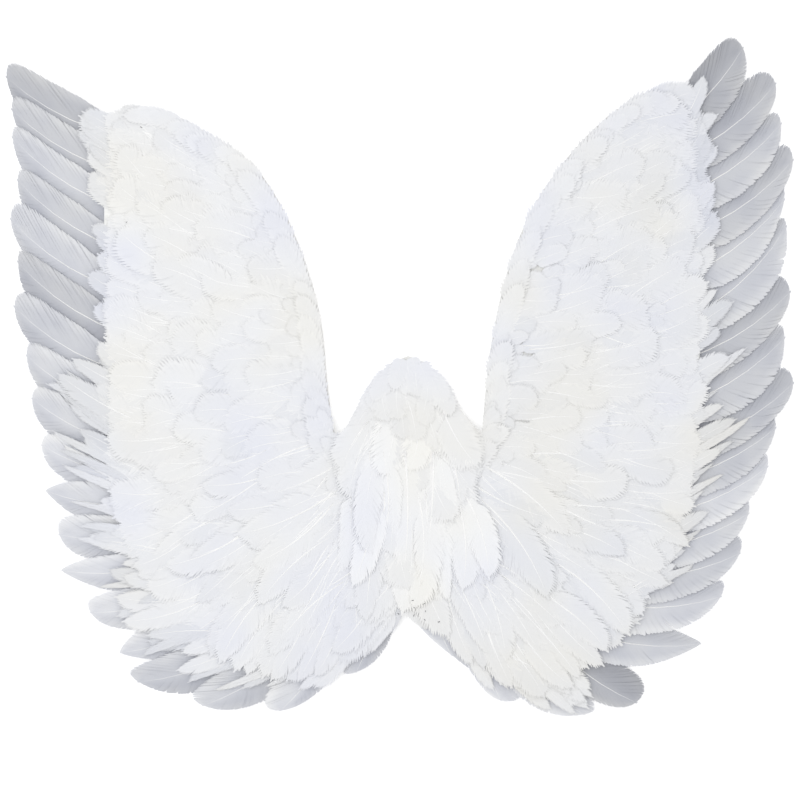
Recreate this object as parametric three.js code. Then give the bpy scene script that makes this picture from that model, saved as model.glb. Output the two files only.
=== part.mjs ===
// Feathered costume wings, lying on their back with the plumage up.
// Millimetres: +X runs across the span, +Y towards the wing tips, +Z out of the plumage.
// A card carries everything: long flight feathers are glued behind its outer edge,
// rows of short covert feathers shingle its face, and two elastics lie behind its middle.
import * as THREE from 'three';

// Overall sizes.
const halfSpan = 395;
const halfHeight = 334.5;

// Backing card.
const cardThickness = 1.5;

// Flight feathers.
const flightWidth = 50;
const flightReach = 118;
const flightRootDepth = 40;
const flightQuillClimb = 20;
const flightBow = 7;
const flightDroop = 3.4;
const vaneThickness = 1;
const shaftThickness = 1.8;

// Covert feathers.
const covertThickness = 1.8;
const covertShaftRise = 0.5;
const covertTipThickness = 1;
const wingRowCount = 4;
const wingRowLap = 1.7;
const wingEdgeLap = 0.05;
const yokeRowCount = 3;
const yokeRowLap = 1.4;
const covertNotch = 0.45;

// The tuft starts over one of the yoke's rows, at a share of the way from its edge to its crown.
const tuftYokeRow = 1;
const tuftStart = 0.44;
const tuftNotch = 0.55;
const tuftRise = 4;

// Shoulder elastics.
const strapWidth = 15;
const strapThickness = 1.2;
const strapInset = 35;
const strapBulge = 125;
const strapSpread = 130;
const strapDropLength = 60;

// Clearances.
const gap = 0.3;
const slideGap = 0.4;

// Turns rows of numbers into rows with named columns.
const table = (names, rows) => rows.map((row) => Object.fromEntries(names.map((name, i) => [name, row[i]])));

// One row for each flight feather, from the wing's top round to the middle of the lower edge.
// edge is where the feather leaves the card, tip is its far end and inner is the point of the
// leading edge that faces it. X is a share of halfSpan, Y of halfHeight and width of flightWidth.
const wingColumns = ['edgeX', 'edgeY', 'tipX', 'tipY', 'innerX', 'innerY', 'width'];
const rightWing = table(wingColumns, [
  [0.735, 0.795, 0.855, 0.995, 0.68, 0.85, 0.92],
  [0.75, 0.68, 0.945, 0.885, 0.575, 0.82, 0.92],
  [0.755, 0.565, 0.96, 0.765, 0.48, 0.73, 0.92],
  [0.755, 0.44, 0.995, 0.65, 0.395, 0.615, 0.96],
  [0.755, 0.32, 0.97, 0.535, 0.325, 0.485, 0.88],
  [0.76, 0.195, 0.98, 0.45, 0.275, 0.335, 0.92],
  [0.755, 0.07, 0.985, 0.26, 0.245, 0.195, 1],
  [0.75, -0.065, 0.97, 0.125, 0.225, 0.065, 1],
  [0.745, -0.195, 0.995, -0.015, 0.215, -0.045, 0.92],
  [0.735, -0.29, 0.945, -0.14, 0.21, -0.12, 0.8],
  [0.715, -0.395, 0.925, -0.255, 0.205, -0.17, 0.84],
  [0.69, -0.5, 0.875, -0.39, 0.175, -0.21, 0.84],
  [0.645, -0.595, 0.855, -0.51, 0.15, -0.245, 0.88],
  [0.58, -0.685, 0.81, -0.64, 0.125, -0.28, 0.92],
  [0.505, -0.775, 0.76, -0.785, 0.1, -0.315, 0.84],
  [0.425, -0.84, 0.605, -0.955, 0.08, -0.35, 0.92],
  [0.32, -0.87, 0.475, -0.99, 0.065, -0.385, 0.8],
  [0.21, -0.835, 0.27, -0.955, 0.05, -0.425, 0.72],
  [0.1, -0.75, 0.14, -0.82, 0.04, -0.47, 0.6],
]);
const leftWing = table(wingColumns, [
  [-0.745, 0.73, -0.995, 0.9, -0.695, 0.81, 0.96],
  [-0.745, 0.625, -0.98, 0.805, -0.585, 0.79, 0.88],
  [-0.745, 0.52, -0.98, 0.72, -0.475, 0.72, 0.88],
  [-0.745, 0.4, -0.965, 0.595, -0.38, 0.645, 0.88],
  [-0.745, 0.275, -0.985, 0.475, -0.31, 0.535, 1],
  [-0.74, 0.15, -0.965, 0.35, -0.26, 0.41, 0.92],
  [-0.735, 0.03, -0.975, 0.215, -0.22, 0.275, 0.96],
  [-0.73, -0.09, -0.94, 0.075, -0.195, 0.14, 0.88],
  [-0.725, -0.195, -0.925, -0.05, -0.185, 0.015, 0.84],
  [-0.72, -0.29, -0.9, -0.185, -0.175, -0.095, 0.8],
  [-0.705, -0.385, -0.89, -0.32, -0.16, -0.185, 0.8],
  [-0.675, -0.48, -0.86, -0.45, -0.13, -0.23, 0.88],
  [-0.635, -0.57, -0.855, -0.56, -0.1, -0.27, 0.72],
  [-0.575, -0.66, -0.785, -0.685, -0.075, -0.31, 0.8],
  [-0.505, -0.75, -0.71, -0.805, -0.055, -0.35, 0.84],
  [-0.415, -0.82, -0.665, -0.9, -0.035, -0.39, 0.88],
  [-0.31, -0.855, -0.505, -0.965, -0.015, -0.425, 0.92],
  [-0.195, -0.845, -0.315, -0.98, 0, -0.46, 0.84],
  [-0.07, -0.76, -0.125, -0.87, 0.015, -0.5, 0.72],
]);

// The bell-shaped yoke between the wings, from left to right. edge is where a line of feathers ends,
// inner where it starts.
const yoke = table(['edgeX', 'edgeY', 'innerX', 'innerY'], [
  [-0.12, -0.365, -0.15, -0.19],
  [-0.08, -0.485, -0.11, -0.105],
  [-0.035, -0.58, -0.065, -0.005],
  [0.03, -0.62, 0.02, 0.065],
  [0.09, -0.58, 0.1, 0.005],
  [0.135, -0.485, 0.145, -0.09],
  [0.17, -0.365, 0.185, -0.15],
]);

// The tuft's feathers hang from the yoke: across is the row of the yoke's table where each starts.
const tuftColumns = table(['across', 'edgeX', 'edgeY'], [
  [2.6, -0.045, -0.66],
  [2.8, -0.015, -0.685],
  [3, 0.01, -0.7],
  [3.2, 0.035, -0.705],
  [3.35, 0.06, -0.7],
  [3.55, 0.09, -0.685],
  [3.75, 0.12, -0.655],
]);
const cardNotch = { x: 0.03, y: -0.68 };

// The middle of the back, between the elastics.
const backMiddle = { x: 0.025, y: -0.35 };

// The row of a wing's table where its leading edge meets the yoke.
const yokeJoint = 10;

// A flight feather's half width along its length, from quill end to tip.
const flightOutline = table(['along', 'half'], [
  [0, 0.08],
  [0.15, 0.12],
  [0.3, 0.66],
  [0.45, 0.95],
  [0.62, 1],
  [0.78, 0.92],
  [0.9, 0.68],
  [0.97, 0.4],
  [1, 0.16],
]);

// A table's column at a whole row, carried on straight past both ends.
function rowValue(rows, key, i) {
  const last = rows.length - 1;
  const near = THREE.MathUtils.clamp(i, 0, last);
  const step = i < 0 ? rows[1][key] - rows[0][key] : rows[last][key] - rows[last - 1][key];
  return rows[near][key] + (i - near) * step;
}

// A table's column at a fractional row, on a Catmull-Rom curve.
function smoothValue(rows, key, v) {
  const i = Math.floor(v);
  const t = v - i;
  const [a, b, c, d] = [-1, 0, 1, 2].map((step) => rowValue(rows, key, i + step));
  return b + 0.5 * t * (c - a + t * (2 * a - 5 * b + 4 * c - d + t * (3 * (b - c) + d - a)));
}

// A named place of a table at a fractional row, in millimetres.
function placeAt(rows, place, v) {
  return new THREE.Vector2(
    smoothValue(rows, `${place}X`, v) * halfSpan,
    smoothValue(rows, `${place}Y`, v) * halfHeight,
  );
}

// A closed solid over a grid of points, each with its x, y, bottom and top.
function slab(grid) {
  const lines = grid.length;
  const across = grid[0].length;
  const positions = ['bottom', 'top'].flatMap((level) => grid.flat().flatMap((p) => [p.x, p.y, p[level]]));
  const bottom = (i, j) => i * across + j;
  const top = (i, j) => lines * across + bottom(i, j);
  const faces = [];
  const quad = (a, b, c, d) => faces.push([a, b, c], [a, c, d]);
  const rim = [];
  for (let i = 0; i < lines - 1; i++) rim.push([i, 0]);
  for (let j = 0; j < across - 1; j++) rim.push([lines - 1, j]);
  for (let i = lines - 1; i > 0; i--) rim.push([i, across - 1]);
  for (let j = across - 1; j > 0; j--) rim.push([0, j]);
  for (let i = 0; i < lines - 1; i++) {
    for (let j = 0; j < across - 1; j++) {
      quad(top(i, j), top(i + 1, j), top(i + 1, j + 1), top(i, j + 1));
      quad(bottom(i, j), bottom(i, j + 1), bottom(i + 1, j + 1), bottom(i + 1, j));
    }
  }
  rim.forEach((here, k) => {
    const next = rim[(k + 1) % rim.length];
    quad(bottom(...here), bottom(...next), top(...next), top(...here));
  });
  const plan = rim.map(([i, j]) => new THREE.Vector2(grid[i][j].x, grid[i][j].y));
  const facesOut = THREE.ShapeUtils.area(plan) > 0;
  const geometry = new THREE.BufferGeometry();
  geometry.setAttribute('position', new THREE.Float32BufferAttribute(positions, 3));
  geometry.setIndex(faces.flatMap(([a, b, c]) => (facesOut ? [a, b, c] : [a, c, b])));
  geometry.computeVertexNormals();
  return geometry;
}

// The plan point on flight feather v of a wing, reach millimetres past the card's edge.
function flightPoint(wing, v, reach) {
  const edge = placeAt(wing, 'edge', v);
  const along = placeAt(wing, 'tip', v).sub(edge).normalize();
  const upwards = new THREE.Vector2(-along.y, along.x).multiplyScalar(Math.sign(edge.x));
  const share = reach / flightReach;
  return edge.addScaledVector(along, reach).addScaledVector(upwards, -4 * flightBow * share * (1 - share));
}

// How many feather spacings a feather's edge lies from its own shaft.
function spacingsAt(wing, feather, reach, halfWidth) {
  const before = flightPoint(wing, feather - 0.5, reach);
  const after = flightPoint(wing, feather + 0.5, reach);
  const along = placeAt(wing, 'tip', feather).sub(placeAt(wing, 'edge', feather)).normalize();
  return halfWidth / Math.abs(along.cross(after.sub(before)));
}

// A flight feather's stations: reach past the card's edge, and half width in spacings.
function flightStations(wing, feather) {
  const length = placeAt(wing, 'tip', feather).distanceTo(placeAt(wing, 'edge', feather)) + flightRootDepth;
  const halfWidth = wing[feather].width * flightWidth / 2;
  return flightOutline.map(({ along, half }) => {
    const reach = along * length - flightRootDepth;
    return { reach, spacings: spacingsAt(wing, feather, reach, half * halfWidth) };
  });
}

// Neighbouring feathers overlap like shingles: each one slopes by flightPitch for every spacing, so
// that any two stay the same distance apart. Each next one lies over the last on the left wing and
// under it on the right. Over its last flightQuillClimb a quill climbs to the back of the card.
const flightPitch = shaftThickness + slideGap;
const widestSpacings = Math.max(...[leftWing, rightWing].flatMap((wing) => wing.flatMap(
  (row, feather) => flightStations(wing, feather).map(({ spacings }) => spacings),
)));
const flightLift = flightPitch * widestSpacings;
const cardBottom = 2 * flightLift + shaftThickness + gap;
const cardTop = cardBottom + cardThickness;

function flightFeather(wing, feather) {
  const slope = flightPitch * Math.sign(wing[feather].edgeX);
  return slab(flightStations(wing, feather).map(({ reach, spacings }) => [-1, 0, 1].map((side) => {
    const { x, y } = flightPoint(wing, feather + side * spacings, reach);
    const droop = flightDroop * (Math.max(reach, 0) / flightReach) ** 2;
    const rise = flightLift * Math.max(0, 1 - (reach + flightRootDepth) / flightQuillClimb);
    const bottom = flightLift + side * spacings * slope - droop + rise;
    return { x, y, bottom, top: bottom + (side === 0 ? shaftThickness : vaneThickness) };
  })));
}

// The card's outline, clockwise from the right wing's top.
function backingCard() {
  const last = rightWing.length - 1;
  const walk = (rows, place, from, to, step = 0.5) => {
    const count = Math.abs(to - from) / step;
    return Array.from({ length: count + 1 }, (_, i) => placeAt(rows, place, from + (to - from) * i / count));
  };
  const outline = [
    ...walk(rightWing, 'edge', 0, last),
    new THREE.Vector2(cardNotch.x * halfSpan, cardNotch.y * halfHeight),
    ...walk(leftWing, 'edge', last, 0),
    ...walk(leftWing, 'inner', 0, yokeJoint),
    ...walk(yoke, 'inner', 0, yoke.length - 1),
    ...walk(rightWing, 'inner', yokeJoint, 0),
  ];
  const geometry = new THREE.ExtrudeGeometry(new THREE.Shape(outline), { depth: cardThickness, bevelEnabled: false });
  return geometry.translate(0, 0, cardBottom);
}

// Coverts lie in frames. A frame says between which curves its rows lie, how many there are, how far
// each laps and rises over the last, and what they lie on. A share runs from 0 at the edge to 1 at
// the inner curve, where the last row starts.
const covertPitch = covertThickness + covertShaftRise + slideGap;
const rowDepth = (frame) => (1 + frame.edgeLap) / (frame.rowCount - 1 + frame.lap);
const rowRoot = (frame, row) => (row + frame.lap) * rowDepth(frame) - frame.edgeLap;
function rowBottom(frame, row, share, v) {
  return frame.seat(share, v) + frame.rise * (rowRoot(frame, row) - share) / rowDepth(frame);
}

// One row of coverts: feather tips fused to the strip that their roots share.
function covertRow(frame, row) {
  const depth = rowDepth(frame);
  const samples = 4 * (frame.rows.length - 1);
  const shift = row % 2 === 0 ? 0 : 0.5;
  const root = rowRoot(frame, row);
  const valley = row * depth - frame.edgeLap + frame.notch * depth;
  const knots = frame.knots.filter((knot) => knot < root && knot > valley);
  return slab(Array.from({ length: samples + 1 }, (_, i) => {
    const v = i / 4;
    const across = (v + shift) % 1;
    const fullness = Math.sqrt(Math.sin(Math.PI * across));
    const tip = valley - frame.notch * depth * fullness;
    const shaft = covertShaftRise * (1 - Math.abs(2 * across - 1));
    return [root, ...knots, tip].map((share) => {
      const plan = placeAt(frame.rows, 'edge', v).lerp(placeAt(frame.rows, 'inner', v), share);
      const bottom = rowBottom(frame, row, share, v);
      const thickness = (share === tip ? covertTipThickness : covertThickness) + shaft;
      return { x: plan.x, y: plan.y, bottom, top: bottom + thickness };
    });
  }));
}

const covertSeat = cardTop + gap;
const overWings = covertSeat + covertPitch * wingRowLap + covertThickness + covertShaftRise + gap;

const wingFrame = (rows) => ({
  rows,
  rowCount: wingRowCount,
  rise: covertPitch,
  lap: wingRowLap,
  edgeLap: wingEdgeLap,
  notch: covertNotch,
  knots: [],
  seat: () => covertSeat,
});

// The yoke's rows start on the card at the crown and climb over the wings' rows.
const climbEnd = 0.6;
const cornerClimb = 0.7;
const yokeFrame = {
  rows: yoke,
  rowCount: yokeRowCount,
  rise: covertPitch,
  lap: yokeRowLap,
  edgeLap: 0,
  notch: covertNotch,
  knots: [climbEnd],
  seat: (share, v) => {
    const middle = (yoke.length - 1) / 2;
    const corner = cornerClimb * Math.abs((v - middle) / middle) ** 3;
    const climb = Math.min(1, (1 - share) / (1 - climbEnd));
    return covertSeat + (overWings - covertSeat) * (corner + (1 - corner) * climb);
  },
};

// The tuft is one row of long locks that start on the yoke.
const tuft = tuftColumns.map((column) => {
  const start = placeAt(yoke, 'edge', column.across).lerp(placeAt(yoke, 'inner', column.across), tuftStart);
  return { ...column, innerX: start.x / halfSpan, innerY: start.y / halfHeight };
});
const tuftFrame = {
  rows: tuft,
  rowCount: 1,
  rise: tuftRise,
  lap: 1,
  edgeLap: 0,
  notch: tuftNotch,
  knots: [],
  seat: (share, v) => {
    const across = smoothValue(tuft, 'across', v);
    const below = rowBottom(yokeFrame, tuftYokeRow, tuftStart, across);
    return below + covertThickness + covertShaftRise + gap;
  },
};

// An elastic, from under the card's middle out over the surface below and back, side 1 or -1.
function shoulderElastic(side, surface) {
  const stations = 20;
  const path = new THREE.CatmullRomCurve3(Array.from({ length: stations + 1 }, (_, i) => {
    const t = i / stations;
    const out = strapInset + strapBulge * Math.sin(Math.PI * t);
    const down = strapSpread * (t - 0.5);
    return new THREE.Vector3(backMiddle.x * halfSpan + side * out, backMiddle.y * halfHeight - down, 0);
  }));
  const length = path.getLength();
  const anchorHeight = cardBottom - gap - strapThickness;
  return slab(path.getSpacedPoints(stations).map((point, i) => {
    const along = path.getTangentAt(i / stations);
    const fromEnd = Math.min(i, stations - i) / stations * length;
    const left = Math.max(0, 1 - fromEnd / strapDropLength);
    const bottom = THREE.MathUtils.lerp(surface, anchorHeight, left * left * (3 - 2 * left));
    return [-1, 1].map((edge) => ({
      x: point.x - along.y * edge * strapWidth / 2,
      y: point.y + along.x * edge * strapWidth / 2,
      bottom,
      top: bottom + strapThickness,
    }));
  }));
}

const finishes = {
  card: new THREE.MeshStandardMaterial({ color: 0xf1f1ef, roughness: 0.85, metalness: 0 }),
  flight: new THREE.MeshStandardMaterial({ color: 0xdcdee4, roughness: 0.6, metalness: 0 }),
  covert: new THREE.MeshStandardMaterial({ color: 0xf3f4f6, roughness: 0.7, metalness: 0 }),
  down: new THREE.MeshStandardMaterial({ color: 0xf6f5f2, roughness: 0.9, metalness: 0 }),
  elastic: new THREE.MeshStandardMaterial({ color: 0xececea, roughness: 0.8, metalness: 0 }),
};

const wings = new THREE.Group();
function add(name, geometry, finish) {
  const mesh = new THREE.Mesh(geometry, finishes[finish]);
  mesh.name = name;
  wings.add(mesh);
}

add('backing_card', backingCard(), 'card');
for (const [side, rows] of [['left', leftWing], ['right', rightWing]]) {
  rows.forEach((row, i) => {
    add(`${side}_flight_feather_${String(i + 1).padStart(2, '0')}`, flightFeather(rows, i), 'flight');
  });
  for (let row = 0; row < wingRowCount; row++) {
    add(`${side}_covert_row_${row + 1}`, covertRow(wingFrame(rows), row), 'covert');
  }
}
for (let row = 0; row < yokeRowCount; row++) {
  add(`yoke_covert_row_${row + 1}`, covertRow(yokeFrame, row), 'covert');
}
add('centre_tuft', covertRow(tuftFrame, 0), 'down');

// The elastics lie on the surface that the lowest feathers touch.
const surface = new THREE.Box3().setFromObject(wings).min.z;
add('left_shoulder_elastic', shoulderElastic(-1, surface), 'elastic');
add('right_shoulder_elastic', shoulderElastic(1, surface), 'elastic');

// The origin is under the middle of the whole, at that surface.
const extent = new THREE.Box3().setFromObject(wings);
const centre = extent.getCenter(new THREE.Vector3());
wings.position.set(-centre.x, -centre.y, -extent.min.z);

export default wings;
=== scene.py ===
import math

import bpy
import numpy as np
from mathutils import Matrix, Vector


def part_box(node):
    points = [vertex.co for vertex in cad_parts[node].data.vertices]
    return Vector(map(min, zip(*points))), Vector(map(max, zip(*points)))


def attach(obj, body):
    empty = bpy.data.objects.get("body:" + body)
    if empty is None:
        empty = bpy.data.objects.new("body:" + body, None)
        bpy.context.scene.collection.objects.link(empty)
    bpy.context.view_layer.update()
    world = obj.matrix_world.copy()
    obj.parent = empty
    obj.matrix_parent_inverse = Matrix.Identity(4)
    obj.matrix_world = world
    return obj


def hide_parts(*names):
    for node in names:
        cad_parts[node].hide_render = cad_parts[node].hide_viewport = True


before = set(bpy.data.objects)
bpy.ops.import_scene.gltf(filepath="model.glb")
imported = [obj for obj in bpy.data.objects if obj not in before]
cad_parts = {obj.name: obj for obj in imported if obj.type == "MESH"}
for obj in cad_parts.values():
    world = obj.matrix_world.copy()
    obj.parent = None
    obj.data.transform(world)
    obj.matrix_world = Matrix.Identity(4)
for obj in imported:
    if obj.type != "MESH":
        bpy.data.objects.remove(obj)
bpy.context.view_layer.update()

MM = 0.001
SEED = 7
UP = (0.0, 0.0, 1.0)

# The tables of part.mjs. Rows go from a wing's top round to the middle of the lower edge, or from the
# yoke's left to its right. X is a share of the half span and Y of the half height. The flight feathers
# beside the notch are narrower here. The shade, from 0 for dark to 1 for pale, isn't in part.mjs: it is
# painted shade, a grey that stands for the shade on and under each thin flight feather.


def table(columns, rows):
    """Rows of numbers as one array for each named column."""
    return dict(zip(columns.split(), np.array(rows, float).T))


WING_COLUMNS = "edge_x edge_y tip_x tip_y inner_x inner_y width sweep shade"
RIGHT_WING = table(WING_COLUMNS, [
    [0.735, 0.795, 0.855, 0.995, 0.68, 0.85, 0.92, 36, 0.1],
    [0.75, 0.68, 0.945, 0.885, 0.575, 0.82, 0.92, 34, 0.2],
    [0.755, 0.565, 0.96, 0.765, 0.48, 0.73, 0.92, 31, 0.4],
    [0.755, 0.44, 0.995, 0.65, 0.395, 0.615, 0.96, 27, 0.35],
    [0.755, 0.32, 0.97, 0.535, 0.325, 0.485, 0.88, 22, 0.5],
    [0.76, 0.195, 0.98, 0.45, 0.275, 0.335, 0.92, 16, 0.45],
    [0.755, 0.07, 0.985, 0.26, 0.245, 0.195, 1, 10, 0.3],
    [0.75, -0.065, 0.97, 0.125, 0.225, 0.065, 1, 5, 0.35],
    [0.745, -0.195, 0.995, -0.015, 0.215, -0.045, 0.92, -1, 0.35],
    [0.735, -0.29, 0.945, -0.14, 0.21, -0.12, 0.8, -7, 0.4],
    [0.715, -0.395, 0.925, -0.255, 0.205, -0.17, 0.84, -13, 0.75],
    [0.69, -0.5, 0.875, -0.39, 0.175, -0.21, 0.84, -19, 0.6],
    [0.645, -0.595, 0.855, -0.51, 0.15, -0.245, 0.88, -28, 0.45],
    [0.58, -0.685, 0.81, -0.64, 0.125, -0.28, 0.92, -37, 0.65],
    [0.505, -0.775, 0.76, -0.785, 0.1, -0.315, 0.84, -45, 0.5],
    [0.425, -0.84, 0.605, -0.955, 0.08, -0.35, 0.92, -53, 0],
    [0.32, -0.87, 0.475, -0.99, 0.065, -0.385, 0.8, -62, 0.85],
    [0.21, -0.835, 0.27, -0.955, 0.05, -0.425, 0.72, -71, 0.95],
    [0.1, -0.75, 0.14, -0.82, 0.04, -0.47, 0.5, -80, 1],
])
LEFT_WING = table(WING_COLUMNS, [
    [-0.745, 0.73, -0.995, 0.9, -0.695, 0.81, 0.96, 30, 0.05],
    [-0.745, 0.625, -0.98, 0.805, -0.585, 0.79, 0.88, 30, 0.35],
    [-0.745, 0.52, -0.98, 0.72, -0.475, 0.72, 0.88, 28, 0.5],
    [-0.745, 0.4, -0.965, 0.595, -0.38, 0.645, 0.88, 26, 0.4],
    [-0.745, 0.275, -0.985, 0.475, -0.31, 0.535, 1, 22, 0.5],
    [-0.74, 0.15, -0.965, 0.35, -0.26, 0.41, 0.92, 17, 0.25],
    [-0.735, 0.03, -0.975, 0.215, -0.22, 0.275, 0.96, 11, 0.45],
    [-0.73, -0.09, -0.94, 0.075, -0.195, 0.14, 0.88, 5, 0.55],
    [-0.725, -0.195, -0.925, -0.05, -0.185, 0.015, 0.84, 0, 0.7],
    [-0.72, -0.29, -0.9, -0.185, -0.175, -0.095, 0.8, -5, 0.85],
    [-0.705, -0.385, -0.89, -0.32, -0.16, -0.185, 0.8, -11, 0.7],
    [-0.675, -0.48, -0.86, -0.45, -0.13, -0.23, 0.88, -18, 0.8],
    [-0.635, -0.57, -0.855, -0.56, -0.1, -0.27, 0.72, -26, 0.9],
    [-0.575, -0.66, -0.785, -0.685, -0.075, -0.31, 0.8, -34, 0.85],
    [-0.505, -0.75, -0.71, -0.805, -0.055, -0.35, 0.84, -43, 0.8],
    [-0.415, -0.82, -0.665, -0.9, -0.035, -0.39, 0.88, -51, 0.45],
    [-0.31, -0.855, -0.505, -0.965, -0.015, -0.425, 0.86, -59, 0.6],
    [-0.195, -0.845, -0.315, -0.98, 0, -0.46, 0.72, -68, 0.8],
    [-0.07, -0.76, -0.125, -0.87, 0.015, -0.5, 0.56, -78, 0.65],
])
YOKE = table("edge_x edge_y inner_x inner_y sweep", [
    [-0.12, -0.365, -0.15, -0.19, -118],
    [-0.08, -0.485, -0.11, -0.105, -108],
    [-0.035, -0.58, -0.065, -0.005, -98],
    [0.03, -0.62, 0.02, 0.065, -90],
    [0.09, -0.58, 0.1, 0.005, -82],
    [0.135, -0.485, 0.145, -0.09, -72],
    [0.17, -0.365, 0.185, -0.15, -62],
])
CARD_NOTCH = (0.03, -0.68)
YOKE_JOINT = 10

# A flight feather's half width along its length, from quill end to tip.
FLIGHT_OUTLINE = table("along half", [
    [0, 0.08], [0.15, 0.14], [0.22, 0.45], [0.3, 0.78], [0.45, 1], [0.62, 1.04],
    [0.78, 1], [0.88, 0.88], [0.94, 0.72], [0.98, 0.5], [1, 0.2],
])
POINTED_OUTLINE = table("along half", [
    [0, 0.08], [0.15, 0.14], [0.22, 0.45], [0.3, 0.78], [0.45, 1], [0.62, 1],
    [0.75, 0.86], [0.86, 0.6], [0.94, 0.34], [1, 0.1],
])
COVERT_OUTLINE = table("along half", [
    [0, 0.12], [0.1, 0.55], [0.25, 0.88], [0.45, 1], [0.7, 1],
    [0.86, 0.9], [0.94, 0.74], [0.985, 0.5], [1, 0.3],
])
PLUME_OUTLINE = table("along half", [
    [0, 0.2], [0.12, 0.7], [0.3, 1], [0.55, 0.98], [0.78, 0.82], [0.9, 0.6], [0.97, 0.38], [1, 0.2],
])
MARGIN_OUTLINE = table("along half", [
    [0, 0.6], [0.15, 0.9], [0.35, 1], [0.6, 0.97], [0.84, 0.75], [0.95, 0.5], [1, 0.15],
])

# Sizes of part.mjs that the dressed pieces follow.
FLIGHT_WIDTH = 50 * MM
FLIGHT_REACH = 118 * MM
FLIGHT_ROOT_DEPTH = 40 * MM
FLIGHT_QUILL_CLIMB = 20 * MM
FLIGHT_BOW = 7 * MM
FLIGHT_DROOP = 3.4 * MM
FLIGHT_PITCH = 2.2 * MM
FLIGHT_LIFT = 1.92 * MM
CLIMB_END = 0.6
CORNER_CLIMB = 0.7
STRAP_WIDTH = 15 * MM
STRAP_THICKNESS = 1.2 * MM
STRAP_INSET = 35 * MM
STRAP_BULGE = 125 * MM
STRAP_SPREAD = 130 * MM
STRAP_DROP = 60 * MM
BACK_MIDDLE = (0.025, -0.35)


# Curves through the tables.


def smooth(column, v):
    """A table's column at fractional rows, on a Catmull-Rom curve carried on straight past both ends."""
    steps = np.arange(3, 0, -1)
    before = column[0] - steps * (column[1] - column[0])
    after = column[-1] + steps[::-1] * (column[-1] - column[-2])
    padded = np.concatenate([before, column, after])
    v = np.asarray(v, float) + 3
    i = np.clip(np.floor(v).astype(int), 1, len(padded) - 3)
    t = v - i
    a, b, c, d = (padded[i + step] for step in (-1, 0, 1, 2))
    return b + 0.5 * t * (c - a + t * (2 * a - 5 * b + 4 * c - d + t * (3 * (b - c) + d - a)))


def shares(rows, place, v):
    """A named place of a table at fractional rows, as shares."""
    return np.stack([smooth(rows[place + "_x"], v), smooth(rows[place + "_y"], v)], -1)


def card_shares():
    """The card's outline, as shares."""
    down = np.arange(0, len(RIGHT_WING["width"]) - 0.5, 0.5)
    inwards = np.arange(0, YOKE_JOINT + 0.5, 0.5)
    crown = np.arange(0, len(YOKE["sweep"]) - 0.5, 0.5)
    return np.concatenate([
        shares(RIGHT_WING, "edge", down), [CARD_NOTCH], shares(LEFT_WING, "edge", down[::-1]),
        shares(LEFT_WING, "inner", inwards), shares(YOKE, "inner", crown),
        shares(RIGHT_WING, "inner", inwards[::-1]),
    ])


# The half sizes and the place of the tables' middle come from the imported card.
card_low, card_high = (np.array(corner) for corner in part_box("backing_card"))
outline_low, outline_high = card_shares().min(0), card_shares().max(0)
HALF = (card_high - card_low)[:2] / (outline_high - outline_low)
MIDDLE = card_low[:2] - outline_low * HALF
CARD_BOTTOM = card_low[2]


def place_at(rows, place, v):
    """A named place of a table at fractional rows, in metres in the row frame."""
    return MIDDLE + shares(rows, place, v) * HALF


def unit(vectors):
    return vectors / np.linalg.norm(vectors, axis=-1, keepdims=True)


def side_of(rows):
    """1 for the right wing and -1 for the left."""
    return np.sign(rows["edge_x"][0])


def flight_point(rows, v, reach):
    """The plan point on flight feather v of a wing, reach past the card's edge."""
    edge = place_at(rows, "edge", v)
    along = unit(place_at(rows, "tip", v) - edge)
    upwards = np.stack([-along[..., 1], along[..., 0]], -1) * side_of(rows)
    share = (reach / FLIGHT_REACH)[..., None]
    return edge + along * reach[..., None] - upwards * 4 * FLIGHT_BOW * share * (1 - share)


def flight_spacing(rows, feather, reach):
    """How far apart flight feathers lie there, square to the feather."""
    gap = flight_point(rows, feather + 0.5, reach) - flight_point(rows, feather - 0.5, reach)
    along = unit(place_at(rows, "tip", feather) - place_at(rows, "edge", feather))
    return np.abs(along[0] * gap[..., 1] - along[1] * gap[..., 0])


# Geometry Nodes: pieces laid on roots.


def socket(sockets, name):
    return next(s for s in sockets if s.enabled and s.name == name)


def node(tree, kind, settings=None, **inputs):
    """A new node with its settings and its inputs: an output socket is linked, a value is set."""
    made = tree.nodes.new(kind)
    for name, value in (settings or {}).items():
        setattr(made, name, value)
    for name, value in inputs.items():
        target = socket(made.inputs, name.replace("_", " "))
        if isinstance(value, bpy.types.NodeSocket):
            tree.links.new(value, target)
        else:
            target.default_value = value
    return made


def attribute(tree, name, kind):
    made = node(tree, "GeometryNodeInputNamedAttribute", {"data_type": kind}, Name=name)
    return socket(made.outputs, "Attribute")


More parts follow.
